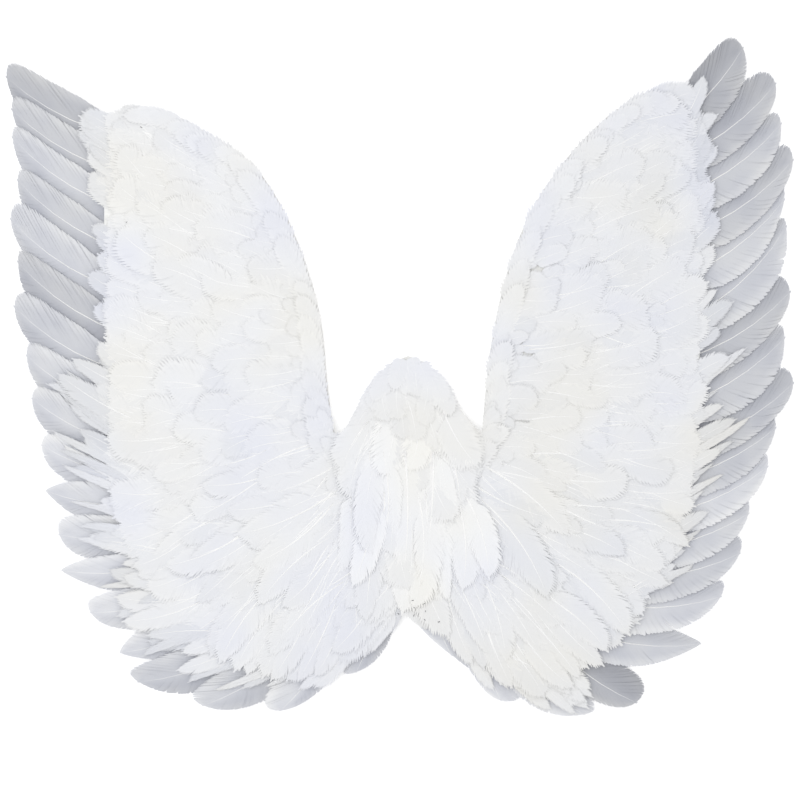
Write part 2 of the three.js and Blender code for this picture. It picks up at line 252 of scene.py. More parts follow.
def make_laying_tree():
    """Lays one of the pieces on each root, along its aim, and keeps the mesh that came with the roots."""
    tree = bpy.data.node_groups.new("Lay pieces on roots", "GeometryNodeTree")
    for name, kind in (
        ("Roots", "NodeSocketGeometry"),
        ("Pieces", "NodeSocketCollection"),
        ("Tilt", "NodeSocketFloat"),
        ("Seed", "NodeSocketInt"),
        ("Finish", "NodeSocketMaterial"),
    ):
        tree.interface.new_socket(name, in_out="INPUT", socket_type=kind)
    tree.interface.new_socket("Laid", in_out="OUTPUT", socket_type="NodeSocketGeometry")
    given = tree.nodes.new("NodeGroupInput").outputs
    split = node(tree, "GeometryNodeSeparateGeometry", Geometry=given["Roots"],
                 Selection=attribute(tree, "root", "BOOLEAN"))
    pieces = node(tree, "GeometryNodeCollectionInfo", Collection=given["Pieces"],
                  Separate_Children=True, Reset_Children=True)
    aimed = node(tree, "FunctionNodeAxesToRotation", {"primary_axis": "X", "secondary_axis": "Z"},
                 Primary_Axis=attribute(tree, "aim", "FLOAT_VECTOR"),
                 Secondary_Axis=attribute(tree, "up", "FLOAT_VECTOR"))
    least = node(tree, "ShaderNodeMath", {"operation": "MULTIPLY"})
    tree.links.new(given["Tilt"], least.inputs[0])
    least.inputs[1].default_value = -1
    tilt = node(tree, "FunctionNodeRandomValue", {"data_type": "FLOAT_VECTOR"},
                Min=least.outputs[0], Max=given["Tilt"], Seed=given["Seed"])
    turn = node(tree, "FunctionNodeEulerToRotation", Euler=socket(tilt.outputs, "Value"))
    turned = node(tree, "FunctionNodeRotateRotation", {"rotation_space": "LOCAL"},
                  Rotation=aimed.outputs[0], Rotate_By=turn.outputs[0])
    laid = node(tree, "GeometryNodeInstanceOnPoints", Points=split.outputs["Selection"],
                Instance=pieces.outputs[0], Pick_Instance=True,
                Instance_Index=attribute(tree, "kind", "INT"), Rotation=turned.outputs[0],
                Scale=attribute(tree, "size", "FLOAT_VECTOR"))
    joined = tree.nodes.new("GeometryNodeJoinGeometry")
    tree.links.new(laid.outputs[0], joined.inputs[0])
    tree.links.new(split.outputs["Inverted"], joined.inputs[0])
    real = node(tree, "GeometryNodeRealizeInstances", Geometry=joined.outputs[0])
    done = node(tree, "GeometryNodeSetMaterial", Geometry=real.outputs[0], Material=given["Finish"])
    tree.links.new(done.outputs[0], tree.nodes.new("NodeGroupOutput").inputs[0])
    return tree


LAYING_TREE = make_laying_tree()
LAYING_INPUTS = {item.name: item.identifier for item in LAYING_TREE.interface.items_tree}
HELPER_ATTRIBUTES = ("root", "aim", "up", "size", "kind")
KINDS = {"aim": "FLOAT_VECTOR", "up": "FLOAT_VECTOR", "size": "FLOAT_VECTOR", "kind": "INT"}


def fill_attribute(mesh, name, values, kind):
    data = mesh.attributes.new(name, kind, "POINT").data
    key = "vector" if kind == "FLOAT_VECTOR" else "value"
    data.foreach_set(key, np.ascontiguousarray(values, np.int32 if kind == "INT" else np.float32).ravel())


def laid(name, roots, pieces, finish, tilt=0, seed=SEED, shaft=None):
    """The object of pieces laid on roots. shaft is a mesh that goes with them, as points and faces."""
    points = np.asarray(roots["at"], float)
    count = len(points)
    shaft_points, faces = shaft or (np.zeros((0, 3)), [])
    mesh = bpy.data.meshes.new(name)
    mesh.from_pydata([*points.tolist(), *shaft_points.tolist()], [],
                     [[corner + count for corner in face] for face in faces])
    extra = len(shaft_points)
    rooted = mesh.attributes.new("root", "BOOLEAN", "POINT").data
    rooted.foreach_set("value", np.arange(count + extra) < count)
    for key, values in roots.items():
        if key == "at":
            continue
        values = np.asarray(values, float)
        rest = np.zeros((extra, *values.shape[1:]))
        fill_attribute(mesh, key, np.concatenate([values, rest]), KINDS.get(key, "FLOAT"))
    obj = bpy.data.objects.new(name, mesh)
    bpy.context.scene.collection.objects.link(obj)
    lay = obj.modifiers.new("Lay", "NODES")
    lay.node_group = LAYING_TREE
    lay[LAYING_INPUTS["Pieces"]] = pieces
    lay[LAYING_INPUTS["Tilt"]] = math.radians(tilt)
    lay[LAYING_INPUTS["Seed"]] = seed
    lay[LAYING_INPUTS["Finish"]] = finish
    dressed = bpy.data.meshes.new_from_object(obj.evaluated_get(bpy.context.evaluated_depsgraph_get()))
    obj.modifiers.remove(lay)
    obj.data = dressed
    for helper in HELPER_ATTRIBUTES:
        if helper in dressed.attributes:
            dressed.attributes.remove(dressed.attributes[helper])
    dressed.shade_smooth()
    return obj


def collection_of(name, objects):
    """A collection outside the scene, whose objects are laid in the order of their names."""
    made = bpy.data.collections.new(name)
    for obj in objects:
        made.objects.link(obj)
        for holder in list(obj.users_collection):
            if holder != made:
                holder.objects.unlink(obj)
    return made


# Barbs and feathers.


def ring_faces(rings, around):
    """Quads between rings of points, closed at both ends."""
    faces = [list(range(around))[::-1]]
    for i in range(rings - 1):
        for j in range(around):
            here, there = i * around + j, i * around + (j + 1) % around
            faces.append([here, there, there + around, here + around])
    faces.append([(rings - 1) * around + j for j in range(around)])
    return faces


def barb(name, stations, widths, bend):
    """A lock of barbs, one long, one wide and one high, that curves to the side of its bend."""
    points = []
    for x, width in zip(stations, widths):
        middle = bend * x ** 2
        points += [(x, middle - width / 2, 0), (x, middle + width / 2, 0), (x, middle, 1)]
    mesh = bpy.data.meshes.new(name)
    mesh.from_pydata(points, [], ring_faces(len(stations), 3))
    mesh.update(calc_edges=True)
    ends = (0, len(stations) - 1)
    rims = [a % 3 == b % 3 < 2 or a // 3 == b // 3 in ends for a, b in (edge.vertices for edge in mesh.edges)]
    mesh.attributes.new("sharp_edge", "BOOLEAN", "EDGE").data.foreach_set("value", rims)
    layer = mesh.uv_layers.new(name="fibre")
    for loop in mesh.loops:
        x, y, _ = points[loop.vertex_index]
        layer.data[loop.index].uv = (x, y - bend * x ** 2 + 0.5)
    return bpy.data.objects.new(name, mesh)


def barbs(name, stations, widths, bend):
    """The locks of a feather's right and left vane."""
    ways = ((0, 1), (1, -1))
    return collection_of(name, [barb(f"{name}_{side}", stations, widths, way * bend) for side, way in ways])


# How far a lock's tip bends towards the feather's tip, in widths of the lock.
BARB_BEND = 0.9
FINE_BARBS = barbs("fine_barb", (0, 0.35, 0.7, 0.92, 1), (0.8, 1, 1.05, 0.9, 0.35), BARB_BEND)
SOFT_BARBS = barbs("soft_barb", (0, 0.68, 1), (0.9, 1, 0.25), BARB_BEND)


def shaft_tube(length, radius, line, sides=4, rings=7):
    """A tapered shaft along a line, which gives the side and height at shares of the length."""
    share = np.linspace(0, 1, rings)
    across, height = line(share)
    taper = radius * (1 - 0.82 * share)
    angles = np.arange(sides) * 2 * math.pi / sides
    points = np.stack([
        np.repeat(share * length, sides),
        np.repeat(across, sides) + np.outer(taper, np.cos(angles)).ravel(),
        np.repeat(height, sides) + np.outer(taper, np.sin(angles)).ravel(),
    ], -1)
    return points, ring_faces(rings, sides)


# Where a feather's last lock of barbs sits, as a share of its length.
LAST_LOCK = 0.985
# How wide each lock is, in spacings.
LOCK_LAP = 1.7
# How far a lock starts behind the shaft, in spacings.
LOCK_TUCK = 0.35
# How many times a lock's length is halved in on, so that it ends at the feather's outline.
HALVINGS = 14


def feather(name, rng, length, half_width, outline, locks, pieces, finish, vane, lean, cup, shaft_radius,
            relief, ragged, curl=0.0, arch=0.0, sway=0.0, splits=2, parting=2):
    """A feather along +X from its quill's end, with its shaft and so many locks of barbs in each vane.

    vane is where the barbs start. lean is their angle there, in the middle and at the tip. cup, curl,
    arch and sway bend the feather, and splits and parting are how many gaps there are and how wide.
    """

    def line(share):
        bow = 4 * share * (1 - share)
        return sway * length * bow, length * (curl * share ** 2 + arch * bow)

    along = np.linspace(vane, LAST_LOCK, locks)
    pitch = (LAST_LOCK - vane) * length / locks
    roots = {key: [] for key in ("at", "aim", "up", "size", "kind", "barb")}
    for kind, way in ((1, 1), (0, -1)):
        breaks = np.sort(rng.uniform(vane, 0.95, splits))
        shift = rng.normal(0, parting, splits + 1)[np.searchsorted(breaks, along)]
        angle = np.radians(np.interp(along, [vane, 0.5, 1], lean) + shift)
        width = pitch * np.sin(angle) * LOCK_LAP
        bent = BARB_BEND * width
        short, long = np.zeros(locks), half_width * 1.4 / np.sin(angle)
        for _ in range(HALVINGS):
            reach = (short + long) / 2
            tip = along + (reach * np.cos(angle) + bent * np.sin(angle)) / length
            room = half_width * np.interp(tip, outline["along"], outline["half"], right=0)
            inside = reach * np.sin(angle) - bent * np.cos(angle) < room
            short, long = np.where(inside, reach, short), np.where(inside, long, reach)
        reach = np.maximum(short, 0.02 * length) * (1 + rng.normal(0, ragged, locks))
        across, height = line(along)
        drop = cup * reach * np.sin(angle) + rng.normal(0, relief * 0.3, locks)
        climb = 2 * curl * along + 4 * arch * (1 - 2 * along)
        aims = np.stack([np.cos(angle), way * np.sin(angle), drop / reach + climb * np.cos(angle)], -1)
        start = np.stack([along * length, across, height], -1)
        roots["at"].append(start - unit(aims) * (LOCK_TUCK * pitch * np.cos(angle))[:, None])
        roots["aim"].append(unit(aims))
        roots["up"].append(np.tile(UP, (locks, 1)))
        roots["size"].append(np.stack([reach, width, np.full(locks, relief)], -1))
        roots["kind"].append(np.full(locks, kind))
        roots["barb"].append(np.ones(locks))
    roots = {key: np.concatenate(values) for key, values in roots.items()}
    return laid(name, roots, pieces, finish, tilt=0.8, seed=int(rng.integers(1000)),
                shaft=shaft_tube(length, shaft_radius, line))


# Materials.


def finish_tree(name, **shader):
    """A new material, its tree and its shader with plain values set on it."""
    made = bpy.data.materials.new(name)
    made.use_nodes = True
    tree = made.node_tree
    principled = tree.nodes["Principled BSDF"]
    for key, value in shader.items():
        principled.inputs[key.replace("_", " ")].default_value = value
    return made, tree, principled


def ramp(tree, factor, stops):
    """A colour ramp through stops, each a place and a colour."""
    made = tree.nodes.new("ShaderNodeValToRGB")
    points = made.color_ramp.elements
    while len(points) < len(stops):
        points.new(0.5)
    for point, (place, colour) in zip(points, stops):
        point.position = place
        point.color = (*colour, 1)
    tree.links.new(factor, made.inputs["Fac"])
    return made.outputs["Color"]


def mixed(tree, factor, a, b, blend="MIX"):
    made = tree.nodes.new("ShaderNodeMix")
    made.data_type = "RGBA"
    made.blend_type = blend
    for target, value in (("Factor", factor), ("A", a), ("B", b)):
        place = socket(made.inputs, target)
        if isinstance(value, bpy.types.NodeSocket):
            tree.links.new(value, place)
        else:
            place.default_value = value if target == "Factor" else (*value, 1)
    return socket(made.outputs, "Result")


def read(tree, name):
    return node(tree, "ShaderNodeAttribute", {"attribute_name": name}).outputs["Fac"]


def feather_finish(name, dark, light, shaft, tints, streak, tones, tuck_shades=None, patch=9.0):
    """Barbed vanes: dark to light along each lock, a painted highlight on the rims, tinted in patches, with
    fine lines along the barbs.

    tones colours a whole feather by its tone, a painted shade on the flight feathers, and the tuck ramp
    paints the shade under the next feather: it darkens the feather from its open rim to the rim that is
    tucked under the next. streak is how dark the lines are and patch how many patches a metre holds.
    """
    made, tree, principled = finish_tree(name, Roughness=0.62, Sheen_Weight=0.2, Sheen_Roughness=0.4,
                                         Specular_IOR_Level=0.25)
    place = node(tree, "ShaderNodeTexCoord").outputs["Object"]
    fibre = node(tree, "ShaderNodeUVMap", {"uv_map": "fibre"}).outputs["UV"]
    stretched = node(tree, "ShaderNodeVectorMath", {"operation": "MULTIPLY"})
    tree.links.new(fibre, stretched.inputs[0])
    stretched.inputs[1].default_value = (1.2, 9, 1)
    lines = node(tree, "ShaderNodeTexNoise", Vector=stretched.outputs[0], Scale=1.6, Detail=3.0)
    split = node(tree, "ShaderNodeSeparateXYZ", Vector=fibre)
    # Painted highlight: each lock is lighter towards its rim end.
    vane = ramp(tree, split.outputs["X"], [(0, dark), (0.6, dark), (0.86, light)])
    # Painted shade under the next feather, darkest at the tucked rim.
    if tuck_shades:
        vane = mixed(tree, 1.0, vane, ramp(tree, read(tree, "tucked_shade"), tuck_shades), "MULTIPLY")
    patches = node(tree, "ShaderNodeTexNoise", Vector=place, Scale=patch, Detail=2.0)
    tint = ramp(tree, patches.outputs["Fac"], tints)
    coloured = mixed(tree, 1.0, vane, tint, "MULTIPLY")
    tone = ramp(tree, read(tree, "tone"), tones)
    coloured = mixed(tree, 1.0, coloured, tone, "MULTIPLY")
    strands = ramp(tree, lines.outputs["Fac"], [(0.3, (1 - streak,) * 3), (0.7, (1, 1, 1))])
    coloured = mixed(tree, 1.0, coloured, strands, "MULTIPLY")
    coloured = mixed(tree, read(tree, "barb"), shaft, coloured)
    tree.links.new(coloured, principled.inputs["Base Color"])
    bump = node(tree, "ShaderNodeBump", Height=lines.outputs["Fac"], Strength=0.25, Distance=0.0004)
    tree.links.new(bump.outputs["Normal"], principled.inputs["Normal"])
    return made


WARM_AND_COOL = [(0.32, (0.94, 0.95, 1.0)), (0.48, (0.985, 0.988, 0.993)), (0.66, (1.0, 0.988, 0.945))]
COOL = [(0.3, (0.88, 0.888, 0.92)), (0.48, (0.95, 0.955, 0.97)), (0.68, (1.0, 1.0, 0.995))]
# Painted shade: flight feathers are coloured grey by their shade, darkest at 0.
FLIGHT_PAINTED_SHADE = [(0, (0.6, 0.603, 0.616)), (0.5, (0.785, 0.79, 0.806)), (1, (0.97, 0.97, 0.975))]
# Painted shade: flight feathers darken towards the rim that lies under the next one.
FLIGHT_TUCK_SHADE = [(0, (1, 1, 1)), (0.12, (0.99, 0.99, 0.99)), (0.5, (0.94, 0.942, 0.95)),
                (0.6, (0.84, 0.845, 0.865)), (0.95, (0.7, 0.705, 0.73))]
FLIGHT = feather_finish("flight_vane", (0.875, 0.883, 0.908), (0.975, 0.978, 0.985), (0.96, 0.96, 0.95),
                        COOL, 0.05, FLIGHT_PAINTED_SHADE, FLIGHT_TUCK_SHADE, patch=26.0)
SOFT_TONES = [(0, (0.8, 0.81, 0.84)), (0.4, (0.93, 0.935, 0.95)), (0.5, (0.965, 0.965, 0.97)), (1, (1, 1, 1))]
COVERT = feather_finish("covert_vane", (0.848, 0.855, 0.872), (0.886, 0.891, 0.903), (0.97, 0.97, 0.965),
                        WARM_AND_COOL, 0.02, SOFT_TONES)
DOWN = feather_finish("tuft_down", (0.91, 0.915, 0.923), (0.943, 0.945, 0.95), (0.975, 0.972, 0.965),
                      WARM_AND_COOL, 0.03, SOFT_TONES)


def card_finish():
    """White fibre card."""
    made, tree, principled = finish_tree("fibre_card", Roughness=0.88, Specular_IOR_Level=0.2)
    place = node(tree, "ShaderNodeTexCoord").outputs["Object"]
    fibres = node(tree, "ShaderNodeTexNoise", Vector=place, Scale=420.0, Detail=4.0)
    clouds = node(tree, "ShaderNodeTexNoise", Vector=place, Scale=14.0, Detail=3.0)
    tone = ramp(tree, clouds.outputs["Fac"], [(0.35, (0.86, 0.86, 0.85)), (0.65, (0.92, 0.92, 0.91))])
    grain = ramp(tree, fibres.outputs["Fac"], [(0.35, (0.94, 0.94, 0.93)), (0.6, (1, 1, 1))])
    tree.links.new(mixed(tree, 1.0, tone, grain, "MULTIPLY"), principled.inputs["Base Color"])
    bump = node(tree, "ShaderNodeBump", Height=fibres.outputs["Fac"], Strength=0.3, Distance=0.0003)
    tree.links.new(bump.outputs["Normal"], principled.inputs["Normal"])
    return made


def elastic_finish():
    """Ribbed elastic, woven of fine threads across its ribs."""
    made, tree, principled = finish_tree("woven_elastic", Roughness=0.8, Sheen_Weight=0.3,
                                         Specular_IOR_Level=0.2)
    cloth = node(tree, "ShaderNodeUVMap", {"uv_map": "fibre"}).outputs["UV"]
    picks = node(tree, "ShaderNodeTexWave", {"wave_type": "BANDS", "bands_direction": "X"}, Vector=cloth,
                 Scale=60.0, Distortion=0.4)
    tone = ramp(tree, picks.outputs["Fac"], [(0.2, (0.74, 0.74, 0.73)), (0.8, (0.88, 0.88, 0.87))])
    tree.links.new(tone, principled.inputs["Base Color"])
    bump = node(tree, "ShaderNodeBump", Height=picks.outputs["Fac"], Strength=0.4, Distance=0.0003)
    tree.links.new(bump.outputs["Normal"], principled.inputs["Normal"])
    return made


CARD = card_finish()
ELASTIC = elastic_finish()


# Flight feathers.


def fitted(piece, node_name):
    """Makes a piece ride on the wings in place of its CAD node."""
    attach(piece, "root")
    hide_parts(node_name)


# Locks in each vane of a flight feather.
FLIGHT_LOCKS = 46
# How far a flight feather's middle lies under the card's underside, past its quill.
FLIGHT_SINK = 3.2 * MM
# The least height of any point of a flight feather.
CLEARANCE = 0.1 * MM
# How much the tones of flight feathers stray from their shade.
TONE_STRAY = 0.06


def flight_feather(name, rows, i, outline, rng):
    """A flight feather, made straight and then laid in the wing's flow."""
    edge, tip = place_at(rows, "edge", i), place_at(rows, "tip", i)
    length = np.linalg.norm(tip - edge) + FLIGHT_ROOT_DEPTH
    half_width = rows["width"][i] * FLIGHT_WIDTH / 2
    piece = feather(name, rng, length, half_width, outline, FLIGHT_LOCKS, FINE_BARBS, FLIGHT, vane=0.17,
                    lean=(46, 34, 20), cup=-0.02, shaft_radius=0.8 * MM, relief=0.1 * MM, ragged=0.006,
                    parting=0.5 if i < 9 else 1.2)
    mesh = piece.data
    local = np.empty(len(mesh.vertices) * 3, np.float32)
    mesh.vertices.foreach_get("co", local)
    along, across, height = local.reshape(-1, 3).T.astype(float)
    reach = along - FLIGHT_ROOT_DEPTH
    spacings = -side_of(rows) * across / flight_spacing(rows, i, reach)
    plan = flight_point(rows, i + spacings, reach)
    rise = FLIGHT_LIFT * np.maximum(0, 1 - along / FLIGHT_QUILL_CLIMB)
    droop = FLIGHT_DROOP * (np.maximum(reach, 0) / FLIGHT_REACH) ** 2
    z = CARD_BOTTOM - FLIGHT_SINK + rise + side_of(rows) * spacings * FLIGHT_PITCH - droop + height
    points = np.stack([plan[:, 0], plan[:, 1], np.maximum(z, CLEARANCE)], -1)
    mesh.vertices.foreach_set("co", points.astype(np.float32).ravel())
    mesh.update()
    # Painted shade: the feather's grey follows its shade, with a random stray.
    tone = rows["shade"][i] + rng.uniform(-TONE_STRAY, TONE_STRAY)
    fill_attribute(mesh, "tone", np.full(len(along), tone), "FLOAT")
    # Painted shade under the next flight feather: darkest at the tucked rim, less so on pale feathers.
    shadow = np.where(across > 0, 1 - 0.5 * rows["shade"][i], 1)
    fill_attribute(mesh, "tucked_shade", 0.5 + 0.5 * across / half_width * shadow, "FLOAT")
    return piece


rng = np.random.default_rng(SEED)
# The flight feathers with a pointed tip, counted from 0.
POINTED = {"left": (10, 12, 14), "right": (14,)}
for side, rows in (("left", LEFT_WING), ("right", RIGHT_WING)):
    for i in range(len(rows["width"])):
        outline = POINTED_OUTLINE if i in POINTED[side] else FLIGHT_OUTLINE
        piece = flight_feather(f"{side}_flight_vane_{i + 1:02d}", rows, i, outline, rng)
        fitted(piece, f"{side}_flight_feather_{i + 1:02d}")


# Coverts.


def variants(name, kind, outline, half_widths, curls, sways, **shape):
    """Feathers one long, from the first to the last of each pair of sizes."""
    made = []
    first, end = FEATHER_KINDS[kind]
    count = end - first
    for number in range(count):
        share = number / (count - 1)
        half_width, curl = (pair[0] + (pair[1] - pair[0]) * share for pair in (half_widths, curls))
        sway = sways * (-1) ** number * (0.4 + 0.6 * share)
        made.append(feather(f"{name}_{number}", rng, 1.0, half_width, outline, pieces=SOFT_BARBS,
                            finish=COVERT, curl=curl, sway=sway, relief=0.003, **shape))
    return made


# The numbers of the feathers of each kind in the collection, from the first to past the last.
FEATHER_KINDS = {"covert": (0, 6), "margin": (6, 9), "plume": (9, 14), "lock": (14, 18)}
FEATHERS = collection_of("feathers", [
    *variants("a_covert", "covert", COVERT_OUTLINE, (0.23, 0.33), (-0.014, -0.006), 0.06, locks=20,
              vane=0.12, lean=(66, 50, 30), arch=0.004, cup=-0.03, shaft_radius=0.013, ragged=0.03,
              parting=1.4),
    *variants("b_margin", "margin", MARGIN_OUTLINE, (0.3, 0.36), (-0.015, 0.0), 0.03, locks=14,
              vane=0.05, lean=(95, 52, 28), arch=0.01, cup=-0.05, shaft_radius=0.005, ragged=0.03),
    *variants("c_plume", "plume", PLUME_OUTLINE, (0.15, 0.2), (-0.014, 0.0), 0.07, locks=28,
              vane=0.12, lean=(54, 38, 22), arch=0.005, cup=-0.03, shaft_radius=0.013, ragged=0.03, splits=3),
    *variants("d_lock", "lock", PLUME_OUTLINE, (0.11, 0.15), (-0.02, -0.01), 0.09, locks=34,
              vane=0.08, lean=(50, 36, 20), arch=0.008, cup=-0.04, shaft_radius=0.005, ragged=0.04, splits=3),
])


def turned(degrees):
    radians = np.radians(degrees)
    return np.stack([np.cos(radians), np.sin(radians)], -1)


def inset(points):
    """How far plan points lie inside the card's outline: less than nothing outside it."""
    start = MIDDLE + card_shares() * HALF
    run = np.roll(start, -1, 0) - start
    away = points[:, None] - start
    along = np.clip((away * run).sum(-1) / (run ** 2).sum(-1), 0, 1)
    near = np.linalg.norm(away - along[..., None] * run, axis=-1).min(1)
    spans = (away[..., 1] < 0) != (away[..., 1] < run[:, 1])
    level = np.where(run[:, 1] == 0, 1, run[:, 1])
    crossings = (spans & (away[..., 0] < run[:, 0] * away[..., 1] / level)).sum(1)
    return np.where(crossings % 2 == 1, near, -near)


def between(rows, share, v):
    """The plan point a share of the way from the edge to the inner curve."""
    share = np.asarray(share)[..., None]
    return place_at(rows, "edge", v) * (1 - share) + place_at(rows, "inner", v) * share


SAMPLES = 400


def spread(rows, share, spacing, offset, rng, first=0, last=None):
    """Fractional rows about a spacing apart, along the line at a share."""
    samples = np.linspace(first, last or len(rows["sweep"]) - 1, SAMPLES)
    steps = np.linalg.norm(np.diff(between(rows, np.full(SAMPLES, share), samples), axis=0), axis=1)
    walked = np.concatenate([[0], np.cumsum(steps)])
    count = int(walked[-1] / spacing)
    places = (np.arange(count) + offset) * walked[-1] / count + rng.normal(0, spacing * 0.12, count)
    return np.interp(places, walked, samples)


def gathered(groups):
    return {key: np.concatenate([group[key] for group in groups]) for key in groups[0]}


# The heights at which the wings' coverts start and at which the yoke's lie over them.
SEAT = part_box("left_covert_row_1")[0][2]
OVER_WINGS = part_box("yoke_covert_row_1")[0][2] - 4.8 * MM
# How thick a layer of coverts is, in millimetres.
LAYER = 0.45
# About how deep a panel is from its edge to its inner curve.
PANEL_DEPTH = 180 * MM
# The row at the yoke's middle, and from which row and over how many rows of a wing long feathers set in.
YOKE_MIDDLE = 3
LONG_FROM = 9
LONG_OVER = 4


def strip(rows, share, spacing, length, layers, seat, rng, skirt=0, ragged=3 * MM, offset=0.5, plume=0,
          tones=(0.45, 0.95)):
    """Roots of one strip of coverts, whose tips lie at a share and over some layers of others.

    skirt is how far the tips hang past that, ragged how much they stray and plume how many are long.
    """
    wing = "tip_x" in rows
    # The outer strips run on past the ends of the tables.
    past = (0.7 if share < 0.1 else 0) if wing else (0.5 if share < 0.7 else 0)
    last = len(rows["sweep"]) - 1
    v = spread(rows, share, spacing, offset, rng, -past, last if wing else last + past)
    way = side_of(rows) if wing else 1
    sweep = smooth(rows["sweep"], v) + rng.normal(0, 9 if share > 0 else 6, len(v))
    aim = turned(sweep) * (way, 1)
    long = rng.uniform(0, 1, len(v)) < plume * np.clip((v - LONG_FROM) / LONG_OVER, 0, 0.9)
    size = length * np.where(long, 1.5, 1) * (1 + rng.normal(0, 0.12, len(v)))
    width = rng.uniform(0.9, 1.12, len(v))
    beyond = np.broadcast_to(skirt, v.shape) if np.isscalar(skirt) else np.interp(v, *skirt)
    beyond = beyond + rng.uniform(-1, 1, len(v)) * ragged
    tips = between(rows, np.full(len(v), share), v) + aim * beyond[:, None]
    # A feather whose root would leave the card is shortened.
    for _ in range(4):
        clear = inset(tips - aim * size[:, None]) > 2 * MM
        size = np.where(clear, size, size * 0.85)
    # Near the card's rim the inner feathers are narrower.
    if share > 0.15:
        room = inset(tips - aim * size[:, None] * 0.45) + 1 * MM
        width *= np.clip(room / (0.3 * size), 0.3, 1)
    rise = (0.4 + LAYER * layers) * MM
    at = tips - aim * size[:, None]
    floor = seat(share + size / PANEL_DEPTH, v)
    slope = (rise + seat(np.full(len(v), share), v) - floor) / size + rng.normal(0, 0.004, len(v))
    roll = rng.normal(0, 0.02, len(v))
    keep = inset(at) > 0
    made = {
        "at": np.column_stack([at, floor + rng.uniform(0.5, 1.1, len(v)) * MM]),
        "aim": unit(np.column_stack([aim, slope])),
        "up": unit(np.column_stack([-aim[:, 1] * roll, aim[:, 0] * roll, np.ones(len(v))])),
        "size": np.column_stack([size, size * width, size]),
        "kind": np.where(long, rng.integers(*FEATHER_KINDS["plume"], len(v)),
                         rng.integers(*FEATHER_KINDS["covert"], len(v))),
        "tone": rng.uniform(*tones, len(v)),
    }
    return {key: values[keep] for key, values in made.items()}


# Widths of the loose feathers of each kind, as shares of a usual one.
WISP_WIDTHS = {"covert": (0.6, 1), "plume": (0.5, 0.95), "lock": (0.3, 0.5)}


def wisps(rows, first, last, count, kind, reach, tones, rng):
    """Roots of loose feathers that hang out over a share of the flight feathers."""
    v = np.sort(rng.uniform(first, last, count))
    edge, tip = place_at(rows, "edge", v), place_at(rows, "tip", v)
    out = np.linalg.norm(tip - edge, axis=1) * rng.uniform(*reach, count)
    aim = unit(unit(tip - edge) + rng.normal(0, 0.1, edge.shape))
    size = out + rng.uniform(22, 40, count) * MM
    at = edge - aim * (size - out)[:, None]
    return {
        "at": np.column_stack([at, SEAT + rng.uniform(0.3, 0.8, count) * MM]),
        "aim": unit(np.column_stack([aim, rng.uniform(-0.03, -0.005, count)])),
        "up": np.tile(UP, (count, 1)),
        "size": np.column_stack([size, size * rng.uniform(*WISP_WIDTHS[kind], count), size]),
        "kind": rng.integers(*FEATHER_KINDS[kind], count),
        "tone": rng.uniform(*tones, count),
    }


def margin(rows, spacing, length, seat, rng, first=0, last=None):
    """Roots of the small broad feathers along the inner curve, which point away from the yoke's crown."""
    v = spread(rows, 1, spacing, 0.5, rng, first, last)
    inner = place_at(rows, "inner", v)
    fall = unit(place_at(rows, "edge", v) - inner)
    run = unit(place_at(rows, "inner", v + 0.05) - place_at(rows, "inner", v - 0.05))
    away = -1 if "tip_x" in rows else np.clip(v - YOKE_MIDDLE, -1, 1)
    aim = unit(run * np.broadcast_to(away, v.shape)[:, None] + fall * (0.3 if "tip_x" in rows else 0.5))
    square = fall - run * (fall * run).sum(-1)[:, None]
    size = length * rng.uniform(0.9, 1.2, len(v))
    at = inner + unit(square) * (size * (0.03 + 0.17 * np.abs(away)))[:, None]
    slope = 1.6 * MM / size + rng.normal(0, 0.01, len(v))
    keep = inset(at + aim * size[:, None]) > -1 * MM
    made = {
        "at": np.column_stack([at, seat(np.ones(len(v)), v) + rng.uniform(1.2, 1.8, len(v)) * MM]),
        "aim": unit(np.column_stack([aim, slope])),
        "up": np.tile(UP, (len(v), 1)),
        "size": np.column_stack([size, size, size]),
        "kind": rng.integers(*FEATHER_KINDS["margin"], len(v)),
        "tone": rng.uniform(0.5, 1, len(v)),
    }
    return {key: values[keep] for key, values in made.items()}


def wing_seat(share, v):
    return np.full(np.shape(v), SEAT)


def yoke_seat(share, v):
    """The yoke's coverts start on the card at the crown and climb over the wings' rows."""
    corner = CORNER_CLIMB * np.abs((v - YOKE_MIDDLE) / YOKE_MIDDLE) ** 3
    climb = np.clip((1 - share) / (1 - CLIMB_END), 0, 1)
    return SEAT + (OVER_WINGS - SEAT) * (corner + (1 - corner) * climb)


# How far the outer coverts hang over the card's edge, at rows of each wing.
SKIRTS = {
    "left": ([0, 6, 9, 12, 15, 17, 18], np.array([-8, -8, -2, 2, 8, 10, 3]) * MM),
    "right": ([0, 5, 9, 12, 14.2, 15.3, 16.3, 17.2, 18], np.array([-8, -5, -3, -1, 4, 18, 20, 13, 2]) * MM),
}
# Loose feathers over the flight feathers: first and last row, count, kind, how far out and tones.
WISPS = {
    "left": [(-0.3, 1, 5, "plume", (0.1, 0.4), (0.1, 0.4)), (0.5, 7, 24, "covert", (0.02, 0.16), (0.1, 0.5)),
             (6, 12, 16, "plume", (0.2, 0.6), (0.05, 0.5)), (10, 18, 26, "plume", (0.25, 0.75), (0.1, 0.7)),
             (6.5, 17.5, 32, "lock", (0.3, 0.8), (0.2, 0.9)), (17, 18.6, 6, "plume", (0.3, 0.8), (0.2, 0.7))],
    "right": [(-0.4, 1, 7, "plume", (0.1, 0.4), (0.1, 0.4)), (0.5, 6, 16, "covert", (0.02, 0.25), (0.1, 0.5)),
              (4, 14, 22, "plume", (0.1, 0.42), (0.1, 0.6)), (6, 14.8, 14, "lock", (0.2, 0.6), (0.2, 0.7)),
              (15.2, 18.6, 14, "plume", (0.55, 0.95), (0.6, 1))],
}
